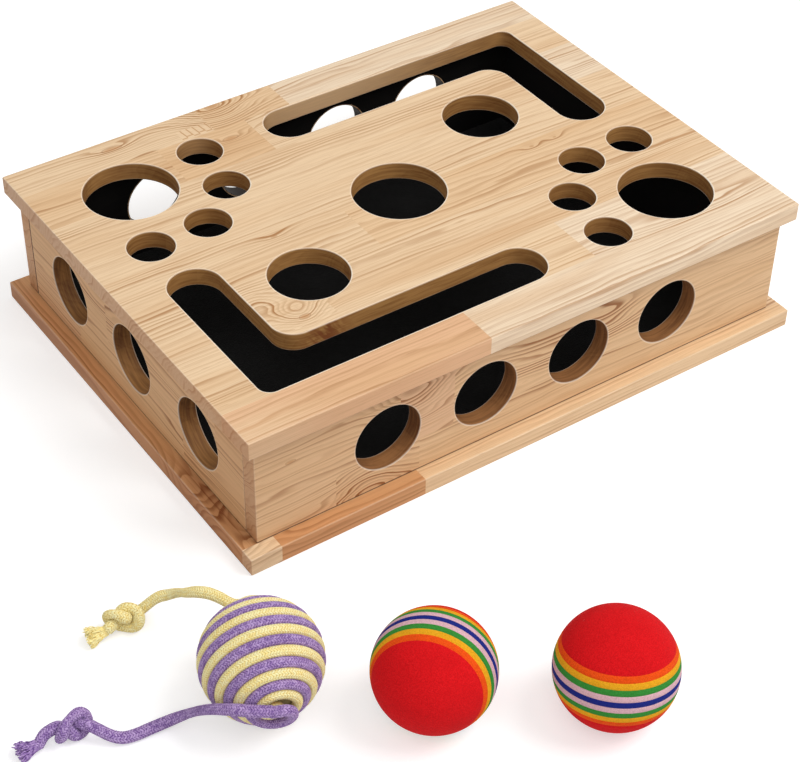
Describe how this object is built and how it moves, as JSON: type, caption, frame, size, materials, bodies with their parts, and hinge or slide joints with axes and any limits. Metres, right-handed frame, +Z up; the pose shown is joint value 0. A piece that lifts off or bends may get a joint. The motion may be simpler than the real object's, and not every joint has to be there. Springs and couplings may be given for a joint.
{
  "type": "cat puzzle box",
  "caption": "Low wooden cat puzzle box with paw-print holes and angled slots in its top and round holes in three walls, with striped foam balls and a cord-wound ball with knotted tails.",
  "frame": {"origin": "centre of the base's underside", "axes": "+X along the long front wall, to the right seen from the front; +Y from the front wall to the back wall; +Z up"},
  "size_m": [0.5736, 0.5255, 0.096],
  "materials": {
    "wood_top": "clear matt lacquer on finger-jointed boards",
    "wood_wall": "clear matt lacquer",
    "wood_base": "clear matt lacquer",
    "dowel": "plain turned wood",
    "screw": "zinc plated",
    "mat": "black needle felt",
    "rope_core": "soft foam",
    "purple_cord": "braided cotton",
    "yellow_cord": "braided cotton",
    "foam_red": "matt closed-cell foam",
    "foam_orange": "matt closed-cell foam",
    "foam_yellow": "matt closed-cell foam",
    "foam_green": "matt closed-cell foam",
    "foam_pink": "matt closed-cell foam",
    "foam_blue": "matt closed-cell foam"
  },
  "bodies": {
    "box": {"base_panel": "wood_base", "front_wall": "wood_wall", "back_wall": "wood_wall", "left_wall": "wood_wall", "right_wall": "wood_wall", "top_panel": "wood_top", "corner_dowels": "dowel", "top_dowels": "dowel", "base_screws": "screw", "scratch_mat": "mat"},
    "foam_ball_a": {"ball_a_red": "foam_red", "ball_a_orange": "foam_orange", "ball_a_yellow": "foam_yellow", "ball_a_green": "foam_green", "ball_a_pink": "foam_pink", "ball_a_blue": "foam_blue"},
    "foam_ball_b": {"ball_b_red": "foam_red", "ball_b_orange": "foam_orange", "ball_b_yellow": "foam_yellow", "ball_b_green": "foam_green", "ball_b_pink": "foam_pink", "ball_b_blue": "foam_blue"},
    "rope_ball": {"rope_core": "rope_core", "purple_winding": "purple_cord", "yellow_winding": "yellow_cord", "purple_tail": "purple_cord", "yellow_tail": "yellow_cord", "purple_knot": "purple_cord", "yellow_knot": "yellow_cord"}
  },
  "joints": [
    {"name": "foam_ball_a_roll", "type": "hinge", "parent": "box", "child": "foam_ball_a", "pos_m": [-0.1755, -0.289, 0.0335], "axis": [-1, 0, 0], "continuous": true},
    {"name": "foam_ball_b_roll", "type": "hinge", "parent": "box", "child": "foam_ball_b", "pos_m": [-0.096, -0.34, 0.0335], "axis": [-1, 0, 0], "continuous": true},
    {"name": "rope_ball_drag", "type": "slide", "parent": "box", "child": "rope_ball", "axis": [-1, 0, 0], "range_m": [0, 0.15]}
  ]
}
